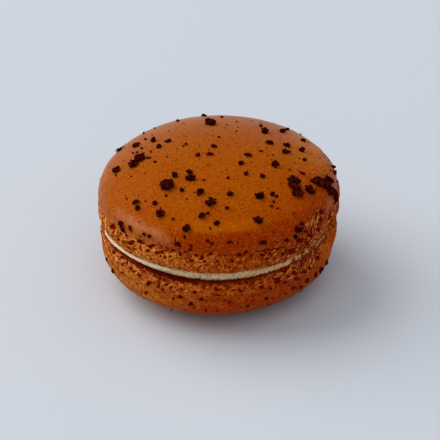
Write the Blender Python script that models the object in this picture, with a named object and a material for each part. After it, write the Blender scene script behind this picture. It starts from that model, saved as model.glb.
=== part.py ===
"""A macaron: two almond shells, each with a craggy foot, on a layer of pale cream.

Biscuit crumbs are baked into both crusts. The origin is the middle of the flat spot that the
macaron rests on, +Z is up, and the side that faces the viewer of the picture is -Y.
Sizes below are in millimetres; MM turns them into Blender's metres.
"""

import math
import random

import bmesh
import bpy
from mathutils import Matrix, Vector, noise

MM = 0.001

# Heights are measured from the seam, a level inside the cream; this is its height above the table
SEAM_HEIGHT = 13.3
GAP = 0.25

# Each shell: lip radius, lip height, rise of the crown above the lip, how full the crown's outline
# is (2 is an ellipse), height of the face on the cream, how far the foot's edge lies inside the lip
# there, the radius of a flat spot at the top (0 is none), the side of the seam that it is on, and
# what sets its relief apart. Outline: waves per turn, height as a share of the radius, phase.
TOP = {
    "radius": 22.3,
    "lip": 5.1,
    "rise": 7.9,
    "fullness": 2.3,
    "face": 0.9,
    "edge_inset": 0.9,
    "flat": 0.0,
    "side": 1,
    "seed": 7,
    "outline": ((1, 0.008, 1.57), (3, 0.003, 3.93)),
}
BOTTOM = {
    "radius": 21.8,
    "lip": 4.9,
    "rise": 8.75,
    "fullness": 2.4,
    "face": 1.4,
    "edge_inset": 0.4,
    "flat": 8.0,
    "side": -1,
    "seed": 19,
    "outline": ((1, 0.009, -1.57), (3, 0.003, 0.6)),
}

# The cream: its rim follows slow waves (waves per turn, height in millimetres, phase), and it lies
# deepest under the foot at the front
FILLING_RADIUS = 21.1
FILLING_BULGE = 0.35
FILLING_COLUMNS = 64
RIM_SHARES = (-1.0, -0.55, 0.0, 0.55, 1.0)
RIM_ROUNDNESS = 0.8
RIM_WAVES = ((1, 0.12, 1.57), (2, 0.33, 1.57), (3, 0.12, -1.57), (11, 0.06, 0.0))

# The foot of a shell: how far it bulges, and how it draws in under the crust's lip
FOOT_COLUMNS = 144
FOOT_ROWS = 8
FOOT_BULGE = 0.75
BULGE_FULLNESS = 0.8
WAIST_INSET = 0.35
LIP_DROP = 0.25
LIP_INSET = 0.1
LIP_WAVES = ((3, 0.18, 1.1), (7, 0.12, 0.0))
# The foot stands taller on the right-hand side, and the crown evens that out towards its middle
RIGHT_BEARING = -0.35
RIGHT_LIFT = 0.9
RIGHT_FADE = 4
CROWN_FADE = 4

# Relief of the foot, ridges with finer bumps on them, and of the crust
CRAG_DEPTH = 0.5
CRAG_SIZE = 1.9
RIDGE_SHARE = 0.65
RIDGE_SHARPNESS = 2.4
BUMP_SHARE = 0.7
BUMPS_PER_CRAG = 2.1
CRAG_FADE = (0.12, 0.92)
SWELL_DEPTH = 0.09
SWELL_SIZE = 9.0

# Rings of the crown: angle along its outline in degrees, and how many columns the ring has
CROWN_RINGS = ((7, 144), (17, 144), (29, 72), (42, 72), (55, 36), (68, 36), (79, 18))
# Rings of a flat face: share of its radius, and columns
FACE_RINGS = ((0.8, 72), (0.5, 36), (0.25, 18))
SPOT_RINGS = ((1.0, 36), (0.5, 18))
CREAM_RINGS = ((0.75, 32), (0.4, 16))

# How the picture sees the macaron: the tilt of the view, its roll, the distance to the seam's
# centre, the picture's scale there and the pixel where that centre falls. A crumb's place is found
# by steps of WALK_STEP over the crown, from WALK_REACH of its radius inwards.
VIEW_TILT = math.radians(33.0)
VIEW_ROLL = math.radians(1.6)
VIEW_DISTANCE = 600.0
PIXELS_PER_MM = 5.33
SEAM_PIXEL = (217.7, 212.7)
WALK_REACH = 0.99
WALK_STEP = 0.05
WALK_ROUNDS = 5

# Crumbs on the top crust where the picture shows them, the largest first: column, row, width in mm
CRUMBS_SEEN = (
    (168, 184, 2.6), (211, 203, 2.4), (294, 181, 2.4), (324, 182, 2.4), (298, 193, 2.0),
    (140, 157, 2.0), (310, 190, 1.9), (263, 243, 1.9), (210, 122, 1.8), (190, 178, 1.8),
    (332, 190, 1.8), (160, 213, 1.8), (133, 164, 1.7), (260, 196, 1.7), (287, 145, 1.6),
    (275, 164, 1.6), (265, 131, 1.6), (200, 192, 1.6), (331, 178, 1.6), (136, 202, 1.6),
    (259, 220, 1.6), (186, 229, 1.6), (120, 149, 1.5), (136, 145, 1.5), (116, 169, 1.5),
    (248, 155, 1.5), (121, 224, 1.5), (154, 140, 1.4), (168, 141, 1.4), (271, 143, 1.4),
    (285, 152, 1.4), (302, 150, 1.4), (263, 176, 1.4), (190, 171, 1.4), (175, 175, 1.4),
    (315, 181, 1.4), (336, 197, 1.4), (202, 216, 1.4), (214, 146, 1.3), (210, 154, 1.3),
    (283, 131, 1.3), (230, 194, 1.3), (273, 194, 1.3), (217, 223, 1.3), (230, 242, 1.3),
)
# Crumbs that the picture shows at the lower crust's edge
CRUMBS_SEEN_BELOW = (
    (327, 262, 1.3), (321, 270, 1.5), (312, 278, 1.5), (306, 283, 1.1), (106, 260, 1.0),
    (112, 272, 1.2), (248, 306, 1.1), (267, 298, 1.2), (192, 304, 1.1),
)
# Seeded crumbs where the picture doesn't reach: how many, between which shares of the radius, and
# between which bearings in degrees
UNSEEN_TOP = {"count": 16, "shares": (0.965, 0.99), "bearings": (25, 155)}
UNSEEN_BOTTOM = {"count": 14, "shares": (0.72, 0.95), "bearings": (10, 170)}
CRUMB_WIDTHS = (0.9, 1.9)
# A crumb's proportions, the share of its width that is sunk in the crust, how far its corners
# stray, its greatest tilt, and the width from which it has more corners
CRUMB_SHAPE = (1.05, 0.9, 0.7)
CRUMB_SUNK = 0.3
CRUMB_STRAY = (-0.26, 0.18)
CRUMB_TILT = 0.6
BIG_CRUMB = 2.2
CRUMB_SEED = 11

# Shading turns sharp past this angle
SHARP_ANGLE = math.radians(50)


def waves(bearing, terms):
    """Sum of sine waves round the macaron."""
    return sum(height * math.sin(count * bearing + phase) for count, height, phase in terms)


def out_of_round(shell, bearing):
    """How far from round a shell is there: a factor close to 1."""
    return 1 + waves(bearing, shell["outline"])


def lip_height(shell, bearing):
    """Height of the crust's lip above the seam."""
    right = max(0.0, math.cos(bearing - RIGHT_BEARING)) ** RIGHT_FADE
    return shell["lip"] + RIGHT_LIFT * right + waves(bearing, LIP_WAVES)


def crown_over(shell, bearing, share):
    """Height of the crown above the seam, at a share of the way from its middle to its lip."""
    rise = (1 - share ** shell["fullness"]) ** (1 / shell["fullness"])
    lift = (lip_height(shell, bearing) - shell["lip"]) * share**CROWN_FADE * (1 - rise)
    return shell["lip"] + shell["rise"] * rise + lift


def crown_height(shell, x, y):
    """Height of the crown above the seam over the point (x, y) of the plan."""
    bearing = math.atan2(y, x)
    share = math.hypot(x, y) / (shell["radius"] * out_of_round(shell, bearing))
    return crown_over(shell, bearing, min(1.0, share))


def crag(point, seed):
    """Relief of the foot: ridges and pits of about CRAG_SIZE, from -1 to 1."""
    place = point / CRAG_SIZE + Vector((seed, 0, 0))
    ridge = 1 - RIDGE_SHARPNESS * abs(noise.noise(place))
    return RIDGE_SHARE * ridge + BUMP_SHARE * noise.noise(place * BUMPS_PER_CRAG)


def swell(point, seed):
    """Slow unevenness of the crust, from -1 to 1."""
    return noise.noise(point / SWELL_SIZE + Vector((0, seed, 0)))


def add_ring(bm, shell, count, radius, height):
    """One ring of vertices. Radius and height above the seam are numbers or depend on the bearing."""
    ring = []
    for column in range(count):
        bearing = 2 * math.pi * column / count
        reach, level = (size(bearing) if callable(size) else size for size in (radius, height))
        reach *= out_of_round(shell, bearing)
        z = SEAM_HEIGHT + shell["side"] * level
        ring.append(bm.verts.new((reach * math.cos(bearing), reach * math.sin(bearing), z)))
    return ring


def add_flat_rings(bm, shell, radius, height, plan):
    """Rings of a flat round face, from its edge inwards. plan holds shares of the radius and columns."""
    return [add_ring(bm, shell, count, share * radius, height) for share, count in plan]


def join_rings(bm, wide, narrow):
    """Faces between two rings, the second with as many columns as the first or half as many."""
    count = len(narrow)
    step = len(wide) // count
    for column in range(count):
        a, b = narrow[column], narrow[(column + 1) % count]
        edge = [wide[(step * column + k) % len(wide)] for k in range(step + 1)]
        bm.faces.new((a, edge[1], edge[0]))
        bm.faces.new((a, b, edge[1]))
        if step == 2:
            bm.faces.new((b, edge[2], edge[1]))


def close_ring(bm, ring):
    """A fan from the ring to its middle."""
    middle = sum((vertex.co for vertex in ring), Vector()) / len(ring)
    centre = bm.verts.new((0, 0, middle.z))
    for column, vertex in enumerate(ring):
        bm.faces.new((vertex, ring[(column + 1) % len(ring)], centre))


def add_foot(bm, shell):
    """Rings of the foot, from its edge at the cream to the waist under the lip, with its crags."""
    rings = []
    for row in range(FOOT_ROWS + 1):
        t = row / FOOT_ROWS
        inset = shell["edge_inset"] * (1 - t) + WAIST_INSET * t
        radius = shell["radius"] - inset + FOOT_BULGE * math.sin(math.pi * t) ** BULGE_FULLNESS

        def height(bearing):
            waist = lip_height(shell, bearing) - LIP_DROP
            return shell["face"] * (1 - t) + waist * t

        ring = add_ring(bm, shell, FOOT_COLUMNS, radius, height)
        fade = CRAG_FADE[0] * (1 - t) + CRAG_FADE[1] * t
        depth = CRAG_DEPTH * math.sin(math.pi * fade)
        for vertex in ring:
            outward = vertex.co.to_2d().normalized().to_3d()
            vertex.co += outward * depth * crag(vertex.co, shell["seed"])
        rings.append(ring)
    return rings


def add_crown(bm, shell):
    """Rings of the crust, from its lip towards its top."""
    lip_radius = shell["radius"] - LIP_INSET
    rings = [add_ring(bm, shell, FOOT_COLUMNS, lip_radius, lambda bearing: lip_height(shell, bearing))]
    for degrees, count in CROWN_RINGS:
        share = math.cos(math.radians(degrees)) ** (2 / shell["fullness"])
        radius = share * shell["radius"]
        if radius < shell["flat"]:
            break
        ring = add_ring(bm, shell, count, radius, lambda bearing: crown_over(shell, bearing, share))
        for vertex in ring:
            vertex.co.z += shell["side"] * SWELL_DEPTH * swell(vertex.co, shell["seed"])
        rings.append(ring)
    if shell["flat"]:
        rings += add_flat_rings(bm, shell, shell["flat"], SEAM_HEIGHT, SPOT_RINGS)
    return rings


def make_shell(name, shell, material):
    """A shell as one closed solid: flat inside face, craggy foot, lip and crown."""
    bm = bmesh.new()
    foot = add_foot(bm, shell)
    inside = add_flat_rings(bm, shell, shell["radius"] - shell["edge_inset"], shell["face"], FACE_RINGS)
    for rings in (foot[:1] + inside, foot + add_crown(bm, shell)):
        for wide, narrow in zip(rings, rings[1:]):
            join_rings(bm, wide, narrow)
        close_ring(bm, rings[-1])
    return finish_mesh(bm, name, material)


def make_filling(name, material):
    """The cream as one disc that runs through the macaron, its rim bulging a little."""
    bm = bmesh.new()
    shape = {"side": 1, "outline": ()}
    low, high = GAP - BOTTOM["face"], TOP["face"] - GAP
    rings = []
    for share in RIM_SHARES:
        bulge = FILLING_BULGE * (math.sqrt(1 - RIM_ROUNDNESS * share**2) - 1)
        height = (low + high) / 2 + share * (high - low) / 2

        def radius(bearing):
            return FILLING_RADIUS + bulge + waves(bearing, RIM_WAVES)

        rings.append(add_ring(bm, shape, FILLING_COLUMNS, radius, height))
    for below, above in zip(rings, rings[1:]):
        join_rings(bm, below, above)
    for rim, height in ((rings[0], low), (rings[-1], high)):
        face = [rim] + add_flat_rings(bm, shape, FILLING_RADIUS, height, CREAM_RINGS)
        for wide, narrow in zip(face, face[1:]):
            join_rings(bm, wide, narrow)
        close_ring(bm, face[-1])
    return finish_mesh(bm, name, material)


def finish_mesh(bm, name, material):
    """Turns a bmesh in millimetres into an object in metres, faces pointing out, shaded smooth."""
    bmesh.ops.recalc_face_normals(bm, faces=bm.faces)
    bmesh.ops.triangulate(bm, faces=bm.faces)
    bmesh.ops.scale(bm, vec=(MM, MM, MM), verts=bm.verts)
    mesh = bpy.data.meshes.new(name)
    bm.to_mesh(mesh)
    bm.free()
    mesh.shade_smooth()
    mesh.set_sharp_from_angle(angle=SHARP_ANGLE)
    mesh.materials.append(material)
    made = bpy.data.objects.new(name, mesh)
    bpy.context.scene.collection.objects.link(made)
    return made


def pixel_of(shell, x, y):
    """Column and row of the picture where the crown's point over (x, y) falls."""
    z = shell["side"] * crown_height(shell, x, y)
    depth = VIEW_DISTANCE + y * math.cos(VIEW_TILT) - z * math.sin(VIEW_TILT)
    scale = PIXELS_PER_MM * VIEW_DISTANCE / depth
    across = scale * x
    up = scale * (y * math.sin(VIEW_TILT) + z * math.cos(VIEW_TILT))
    column = SEAM_PIXEL[0] + across * math.cos(VIEW_ROLL) - up * math.sin(VIEW_ROLL)
    row = SEAM_PIXEL[1] - across * math.sin(VIEW_ROLL) - up * math.cos(VIEW_ROLL)
    return column, row


def seen_on_crown(shell, column, row):
    """The point of a crown's plan that the picture shows at this pixel.

    It walks from the near side of the lip away from the viewer until the crown reaches the row,
    and stops at the crown's outline in the picture if the row lies beyond it.
    """
    side = shell["side"]
    reach = WALK_REACH * shell["radius"]
    x = 0.0
    for _ in range(WALK_ROUNDS):
        x = max(-reach, min(reach, x))
        y = -math.sqrt(reach**2 - x**2)
        here = pixel_of(shell, x, y)[1]
        while side * (here - row) > 0:
            further = pixel_of(shell, x, y + WALK_STEP)[1]
            if side * (further - here) > 0:
                break
            y, here = y + WALK_STEP, further
        x += (column - pixel_of(shell, x, y)[0]) / PIXELS_PER_MM
    return x, y


def crown_frame(shell, x, y):
    """Matrix that stands a crumb on the crown over (x, y): its Z is the surface's outward normal."""
    slopes = [
        (crown_height(shell, x + dx, y + dy) - crown_height(shell, x - dx, y - dy)) / (2 * WALK_STEP)
        for dx, dy in ((WALK_STEP, 0), (0, WALK_STEP))
    ]
    normal = Vector((-slopes[0], -slopes[1], 1)).normalized()
    normal.z *= shell["side"]
    place = Vector((x, y, SEAM_HEIGHT + shell["side"] * crown_height(shell, x, y)))
    return Matrix.Translation(place) @ normal.to_track_quat("Z", "Y").to_matrix().to_4x4()


def add_crumb(collection, frame, width, rng):
    """A lumpy crumb, flattened and half sunk where frame stands it."""
    bm = bmesh.new()
    bmesh.ops.create_icosphere(bm, subdivisions=2 if width > BIG_CRUMB else 1, radius=width / 2)
    for vertex in bm.verts:
        vertex.co *= 1 + rng.uniform(*CRUMB_STRAY)
    spin = Matrix.Rotation(rng.uniform(0, 2 * math.pi), 4, "Z")
    tilt = Matrix.Rotation(rng.uniform(0, CRUMB_TILT), 4, "X")
    flatten = Matrix.Diagonal((*CRUMB_SHAPE, 1))
    lift = Matrix.Translation((0, 0, width * (CRUMB_SHAPE[2] / 2 - CRUMB_SUNK)))
    bmesh.ops.transform(bm, matrix=frame @ lift @ spin @ flatten @ tilt, verts=bm.verts)
    bmesh.ops.scale(bm, vec=(MM, MM, MM), verts=bm.verts)
    mesh = bpy.data.meshes.new("crumb")
    bm.to_mesh(mesh)
    bm.free()
    collection.objects.link(bpy.data.objects.new("crumb", mesh))


def bury_crumbs(target, places, seed):
    """Fuses crumbs to a shell with one union, then removes the loose ones.

    places holds (matrix, width) for each crumb.
    """
    rng = random.Random(seed)
    collection = bpy.data.collections.new("loose_crumbs")
    bpy.context.scene.collection.children.link(collection)
    for frame, width in places:
        add_crumb(collection, frame, width, rng)
    union = target.modifiers.new("crumbs", "BOOLEAN")
    union.operation = "UNION"
    union.operand_type = "COLLECTION"
    union.collection = collection
    union.solver = "EXACT"
    graph = bpy.context.evaluated_depsgraph_get()
    fused = bpy.data.meshes.new_from_object(target.evaluated_get(graph))
    target.modifiers.clear()
    target.data = fused
    for loose in list(collection.objects):
        bpy.data.objects.remove(loose)
    bpy.data.collections.remove(collection)


def unseen_spots(shell, rng, count, shares, bearings):
    """Seeded spots on a crown's plan, with a width for each."""
    spots = []
    for _ in range(count):
        radius = shell["radius"] * rng.uniform(*shares)
        bearing = math.radians(rng.uniform(*bearings))
        spots.append((radius * math.cos(bearing), radius * math.sin(bearing), rng.uniform(*CRUMB_WIDTHS)))
    return spots


def crumb_places(shell, seen, unseen, seed):
    """Where a shell's crumbs stand, those that the picture shows first, each with its width."""
    spots = [(*seen_on_crown(shell, column, row), width) for column, row, width in seen]
    spots += unseen_spots(shell, random.Random(seed), **unseen)
    return [(crown_frame(shell, x, y), width) for x, y, width in spots]


def food_material(name, colour, roughness):
    """A plain Principled material."""
    material = bpy.data.materials.new(name)
    material.use_nodes = True
    shader = material.node_tree.nodes["Principled BSDF"]
    shader.inputs["Base Color"].default_value = (*colour, 1)
    shader.inputs["Roughness"].default_value = roughness
    shader.inputs["Metallic"].default_value = 0
    return material


def main():
    for old in list(bpy.data.objects):
        bpy.data.objects.remove(old)
    crust = food_material("baked_shell", (0.36, 0.085, 0.008), 0.5)
    cream = food_material("pale_cream", (0.56, 0.42, 0.22), 0.55)
    top_shell = make_shell("top_shell", TOP, crust)
    bottom_shell = make_shell("bottom_shell", BOTTOM, crust)
    make_filling("filling", cream)
    for target, shell, seen, unseen in (
        (top_shell, TOP, CRUMBS_SEEN, UNSEEN_TOP),
        (bottom_shell, BOTTOM, CRUMBS_SEEN_BELOW, UNSEEN_BOTTOM),
    ):
        seed = CRUMB_SEED + shell["seed"]
        bury_crumbs(target, crumb_places(shell, seen, unseen, seed), seed)


main()
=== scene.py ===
import math
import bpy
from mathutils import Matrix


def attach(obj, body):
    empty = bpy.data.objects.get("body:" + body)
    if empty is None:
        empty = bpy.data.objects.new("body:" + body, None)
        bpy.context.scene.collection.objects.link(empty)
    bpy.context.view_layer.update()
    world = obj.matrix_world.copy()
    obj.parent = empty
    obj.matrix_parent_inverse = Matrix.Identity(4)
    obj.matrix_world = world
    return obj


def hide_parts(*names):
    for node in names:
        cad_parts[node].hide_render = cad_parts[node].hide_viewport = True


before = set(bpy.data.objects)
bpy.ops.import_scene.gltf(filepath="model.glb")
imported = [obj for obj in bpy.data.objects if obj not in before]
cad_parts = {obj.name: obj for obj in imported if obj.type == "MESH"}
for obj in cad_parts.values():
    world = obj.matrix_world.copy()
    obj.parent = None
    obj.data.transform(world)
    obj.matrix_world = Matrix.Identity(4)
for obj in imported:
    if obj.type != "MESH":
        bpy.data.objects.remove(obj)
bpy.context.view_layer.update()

from types import SimpleNamespace

import bmesh
import bpy
import numpy as np
from mathutils import Matrix, Vector

mm = 0.001  # sizes below are in millimetres, apart from the studio's
pi, tau = math.pi, math.tau

# Heights count from the seam, a level inside the cream
seam = {"height": 13.3}

# Waves round the macaron are lists of (waves per turn, height, phase). Closing is how far a foot closes in
# on the cream at the left, front and right, and the left's power; fringe the rough band's height over the
# lip, and more of it at the right and at both sides; nearFoot the pinholes' reach, and more at the right
topShell = {
    "radius": 22.3, "lip": 5.1, "rise": 7.9, "fullness": 2.3, "face": 0.9, "edgeInset": 0.9, "side": 1,
    "seed": 7, "name": "top",
    "outline": [(1, 0.008, 1.57), (3, 0.003, 3.93)],
    "closing": (1, 0.14, 0.2, 4), "fringe": (0.9, 4, 0), "nearFoot": (3.2, 3.5), "fading": 0,
    "slimLeft": 0,
}
bottomShell = {
    "radius": 21.8, "lip": 4.9, "rise": 8.75, "fullness": 2.4, "face": 1.4, "edgeInset": 0.4,
    "side": -1, "seed": 19, "name": "bottom",
    "outline": [(1, 0.009, -1.57), (3, 0.003, 0.6)],
    "closing": (1.05, -0.2, 0.85, 1), "fringe": (2.1, 4, 1.6), "nearFoot": (6.7, 0), "fading": 0.55,
    "slimLeft": 0.5,
}


def smooth(low, high, value):
    # eased step: 0 at low, 1 at high
    t = np.clip((value - low) / (high - low), 0, 1)
    return t * t * (3 - 2 * t)


def waves(bearing, terms):
    # sum of height * sin(count * bearing + phase)
    total = np.zeros_like(bearing)
    for count, height, phase in terms:
        total = total + height * np.sin(count * bearing + phase)
    return total


def facing(bearing, middle):
    # 1 at the middle bearing, the cosine beside it, and 0 from a quarter turn away
    return np.clip(np.cos(bearing - middle), 0, 1)


def ringPoints(bearing, radius, height):
    # points from bearing, distance from the axis and height
    return np.stack([radius * np.cos(bearing), radius * np.sin(bearing), height + 0 * radius], axis=-1)


# Noise in space, worked out for whole arrays of points

# Numbers that only stir the bits
stirring = {
    "lattice": (0x8DA6B343, 0xD8163841, 0xCB1AB31F),
    "seed": (7919, 17),
    "cell": ((15, 0x2C1B3C6D), (12, 0x297A2D39)),
    "part": (0x9E3779B1, 0x85EBCA6B, 0xC2B2AE35),
}


def cellBits(cells, seed):
    # one random 32-bit number for each cell of a whole-number lattice
    factors = np.array(stirring["lattice"], dtype=np.uint32)
    mixed = np.bitwise_xor.reduce(cells.astype(np.int64).astype(np.uint32) * factors, axis=-1)
    factor, more = stirring["seed"]
    mixed ^= np.uint32(seed * factor + more)
    for shift, factor in stirring["cell"]:
        mixed ^= mixed >> np.uint32(shift)
        mixed *= np.uint32(factor)
    return mixed ^ (mixed >> np.uint32(15))


def share(bits, part):
    # a number from 0 to 1, the part-th one drawn from the same bits
    first, second, third = stirring["part"]
    mixed = (bits ^ np.uint32(part * first & 0xFFFFFFFF)) * np.uint32(second)
    mixed ^= mixed >> np.uint32(13)
    mixed *= np.uint32(third)
    return (mixed >> np.uint32(8)) / float(1 << 24)


def threeShares(bits):
    return np.stack([share(bits, part) for part in (1, 2, 3)], axis=-1)


def cloud(points, size, seed):
    # gradient noise, about -1 to 1, with bumps of the given size
    place = points / size
    base = np.floor(place)
    inside = place - base
    ease = inside * inside * inside * (inside * (inside * 6 - 15) + 10)
    total = np.zeros(points.shape[:-1])
    for corner in np.ndindex(2, 2, 2):
        slope = threeShares(cellBits(base + corner, seed)) * 2 - 1
        weight = np.prod(np.where(corner, ease, 1 - ease), axis=-1)
        total += weight * np.sum(slope * (inside - corner), axis=-1)
    return total * 1.5


def clouds(points, seed, terms):
    # sum of height * cloud over terms of (height, size, seed to add)
    return sum(height * cloud(points, size, seed + more) for height, size, more in terms)


def foam(points, size, seed):
    # distance to the nearest and to the second seed point, in cells, and a random share for the nearest
    place = points / size
    base = np.floor(place)
    first = np.full(points.shape[:-1], 9.0)
    second = first.copy()
    luck = np.zeros_like(first)
    for offset in np.ndindex(3, 3, 3):
        cell = base + np.array(offset) - 1
        bits = cellBits(cell, seed)
        away = np.linalg.norm(place - cell - threeShares(bits), axis=-1)
        nearer = away < first
        second = np.where(nearer, first, np.minimum(second, away))
        luck = np.where(nearer, share(bits, 4), luck)
        first = np.where(nearer, away, first)
    return first, second, luck


# The shells' own form, the same as the solids'

footShape = {
    "bulge": 0.75, "bulgeFullness": 0.8, "waistInset": 0.35, "lipDrop": 0.25,
    "lipWaves": [(3, 0.18, 1.1), (7, 0.12, 0)],
    "rightBearing": -0.35, "rightLift": 0.9,
}


def rightHand(bearing):
    # 1 on the right-hand side, 0 on the left half
    return facing(bearing, footShape["rightBearing"]) ** 4


def lipHeight(shell, bearing):
    # the lip's own height, more on the right, and its waves
    return shell["lip"] + footShape["rightLift"] * rightHand(bearing) + waves(bearing, footShape["lipWaves"])


def crownHeight(shell, bearing, reach):
    # superellipse over the lip: (1 - reach^n)^(1/n), cut off flat at the table
    rise = (1 - np.minimum(reach, 1) ** shell["fullness"]) ** (1 / shell["fullness"])
    lift = (lipHeight(shell, bearing) - shell["lip"]) * reach**4 * (1 - rise)
    height = shell["lip"] + shell["rise"] * rise + lift
    return np.minimum(height, seam["height"]) if shell["side"] < 0 else height


def onShell(shell, bearing, radius, height):
    # points of a shell from bearing, radius before the waves of its outline, and height over the seam
    level = seam["height"] + shell["side"] * height
    return ringPoints(bearing, radius * (1 + waves(bearing, shell["outline"])), level)


def placed(name, data):
    # a new object in the scene
    made = bpy.data.objects.new(name, data)
    bpy.context.scene.collection.objects.link(made)
    return made


# A finished mesh from numpy arrays

def makeMesh(name, points, faces, masks):
    mesh = bpy.data.meshes.new(name)
    mesh.vertices.add(len(points))
    mesh.vertices.foreach_set("co", (points * mm).astype(np.float32).ravel())
    mesh.loops.add(faces.size)
    mesh.loops.foreach_set("vertex_index", faces.astype(np.int32).ravel())
    mesh.polygons.add(len(faces))
    mesh.polygons.foreach_set("loop_start", np.arange(0, faces.size, faces.shape[1], dtype=np.int32))
    mesh.update(calc_edges=True)
    mesh.shade_smooth()
    for key, values in masks.items():
        kind, field = ("FLOAT_VECTOR", "vector") if values.shape[-1:] == (3,) else ("FLOAT", "value")
        mesh.attributes.new(key, kind, "POINT").data.foreach_set(field, values.astype(np.float32).ravel())
    return placed(name, mesh)


def closedSurface(name, grid, masks, flip):
    # quads between rows of points that close round their columns; at either pole a whole row falls on
    # one point, where it is merged
    rows, columns = grid.shape[:2]
    row, column = np.meshgrid(np.arange(rows - 1), np.arange(columns), indexing="ij")
    here, there = row * columns + column, row * columns + (column + 1) % columns
    faces = np.stack([here, there, there + columns, here + columns], axis=-1).reshape(-1, 4)
    piece = makeMesh(name, grid.reshape(-1, 3), faces[:, ::-1] if flip else faces, masks)
    work = bmesh.new()
    work.from_mesh(piece.data)
    bmesh.ops.remove_doubles(work, verts=work.verts, dist=0.002 * mm)
    work.to_mesh(piece.data)
    work.free()
    piece.data.shade_smooth()
    print(name, "made,", len(piece.data.polygons), "faces")
    return piece


def unit(vectors):
    # vectors of length 1 in the same directions
    return vectors / np.maximum(np.linalg.norm(vectors, axis=-1, keepdims=True), 1e-9)


def surfaceNormals(grid):
    # cross product of the steps along the rows and round the columns, turned away from the macaron's middle
    along = np.gradient(grid, axis=0)
    around = np.roll(grid, -1, axis=1) - np.roll(grid, 1, axis=1)
    normal = unit(np.cross(around, along))
    return normal * np.sign(np.sum(normal * (grid - [0, 0, seam["height"]]), axis=-1, keepdims=True))


# The picture's view, which also says where the hollows and the crumbs lie

view = {
    "tilt": 33, "roll": 1.6, "distance": 600, "scale": 5.33, "seamPixel": (217.7, 212.7), "frame": 440,
    "sensor": 36,
}


def pixelOf(points):
    # column and row of the picture where points fall
    tilt, roll = math.radians(view["tilt"]), math.radians(view["roll"])
    x, y, z = points[..., 0], points[..., 1], points[..., 2] - seam["height"]
    scale = view["scale"] * view["distance"] / (view["distance"] + y * math.cos(tilt) - z * math.sin(tilt))
    up = scale * (y * math.sin(tilt) + z * math.cos(tilt))
    column = view["seamPixel"][0] + scale * x * math.cos(roll) - up * math.sin(roll)
    row = view["seamPixel"][1] - scale * x * math.sin(roll) - up * math.cos(roll)
    return column, row


def towardsCamera():
    # direction of length 1 from the macaron to the camera
    tilt = math.radians(view["tilt"])
    return np.array([0, -math.cos(tilt), math.sin(tilt)])


# Hollows of the feet: column and row of the picture, length, breadth, and for some the turn in degrees

hollowList = [
    (112, 227, 1, 0.9), (130, 244, 1, 0.9), (139, 242, 1.1, 0.8, 30), (145, 235, 0.5, 0.5),
    (150, 247, 1, 0.6, 20), (156, 253.5, 0.7, 0.6), (162, 253, 0.7, 0.7), (167, 249, 0.7, 0.5),
    (173, 251, 0.9, 0.6), (180, 255, 0.8, 0.8), (190, 250, 0.8, 0.6), (177, 245, 1.3, 0.7, 20),
    (191, 246, 0.7, 0.6), (202, 259, 0.8, 0.8), (218, 262, 0.5, 0.6), (212, 244, 0.6, 0.5),
    (118, 240, 0.6, 0.5), (147, 252, 0.6, 0.5), (165, 258, 0.7, 0.5), (192, 262, 0.7, 0.5),
    (240, 256, 0.8, 0.6), (246, 253, 0.7, 0.5), (262, 256, 0.9, 0.6), (268, 260, 0.8, 0.5),
    (270, 250, 6.4, 0.24, -8), (283, 254, 0.9, 0.6), (298, 230, 1.2, 0.9), (302, 224, 0.9, 0.6),
    (300, 241, 1.3, 0.9), (292, 251, 1.2, 0.9), (322, 212, 1.1, 0.7, 60), (318, 230, 0.7, 0.9),
    (322, 220, 0.6, 0.8), (311, 236, 0.8, 0.6), (329, 218, 0.9, 0.4, -60), (306, 232, 0.7, 0.5),
    (130, 269.5, 0.5, 0.4), (133.5, 272.5, 0.5, 0.4), (139, 276, 0.7, 0.4), (148, 284.5, 1, 0.7),
    (154.5, 284, 0.5, 0.4), (162.5, 290, 0.6, 0.5), (171, 288, 0.4, 0.4), (180, 297, 0.8, 0.6),
    (202, 300, 0.9, 0.6), (191, 305, 0.7, 0.6), (217, 290, 0.8, 0.6), (218, 296, 0.7, 0.5),
    (195, 293, 0.7, 0.5), (278, 281, 1.3, 1.2), (297, 279, 1, 0.7), (294.5, 273.5, 0.9, 0.6),
    (247, 283, 0.7, 0.5), (230, 303, 0.7, 0.5), (240, 291, 0.8, 0.5), (262, 288, 0.8, 0.6),
    (304, 272, 0.9, 0.7), (318, 258, 0.7, 0.9), (121, 258, 0.7, 0.5, 40), (113, 253, 0.6, 0.5),
    (143.5, 244, 0.5, 0.4), (153, 246, 0.6, 0.5), (161.5, 247.5, 0.5, 0.4), (160, 257, 0.3, 0.3),
    (170, 257, 0.5, 0.4), (185, 252, 0.5, 0.4), (196, 256, 0.6, 0.4), (205, 262, 0.6, 0.5),
    (210, 255, 0.5, 0.4), (225, 256, 0.5, 0.4), (233, 262, 0.5, 0.4), (135, 250, 0.5, 0.4),
    (126, 236, 0.5, 0.4), (141, 237, 0.4, 0.4), (122.5, 273, 0.5, 0.4), (146, 293, 0.6, 0.5),
    (158.5, 286.5, 0.4, 0.4), (166, 286, 0.4, 0.3), (126, 264, 0.5, 0.4, 30), (174, 299, 0.4, 0.4),
    (285, 271.5, 1.1, 0.6, -20), (285, 283, 1.1, 0.4, -30), (294.5, 288.5, 1, 0.6), (271, 289, 0.6, 0.4),
    (289, 277, 0.6, 0.4), (302, 273, 0.6, 0.5),
]
hollowEdge = {"uneven": [(0.85, 0.5, 81), (0.5, 0.25, 82)], "middle": 1.1, "outer": 1.5, "inner": 0.8}


def pictureRows(listed):
    # rows of column, row, length, breadth and turn, which is 0 where a row doesn't give it
    return np.array([(*row, 0)[:5] for row in listed], dtype=float)


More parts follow.
